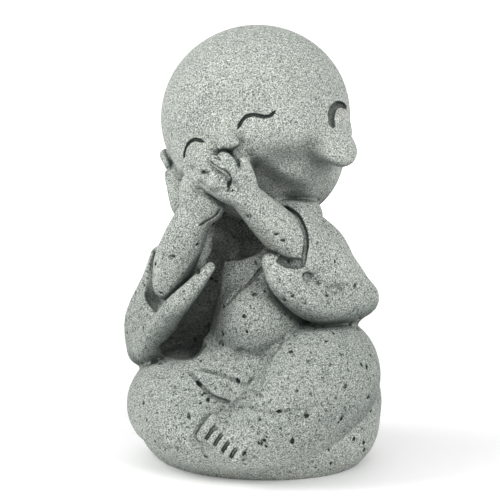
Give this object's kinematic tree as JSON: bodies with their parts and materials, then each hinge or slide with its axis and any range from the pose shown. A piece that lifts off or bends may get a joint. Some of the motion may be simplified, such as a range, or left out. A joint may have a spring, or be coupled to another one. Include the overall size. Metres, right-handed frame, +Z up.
{
  "type": "monk statue",
  "caption": "Seated child monk statue in cast volcanic stone, legs crossed, head tilted, both hands held over the mouth.",
  "frame": {"origin": "on the flat underside, under the middle of the seat", "axes": "+Z up, -Y is the way the figure faces, +X is the figure's left hand side"},
  "size_m": [0.1805, 0.1622, 0.3002],
  "materials": {
    "cast_stone": "dry granular cast volcanic stone with open pits"
  },
  "bodies": {
    "root": {"monk_statue": "cast_stone"}
  },
  "joints": []
}
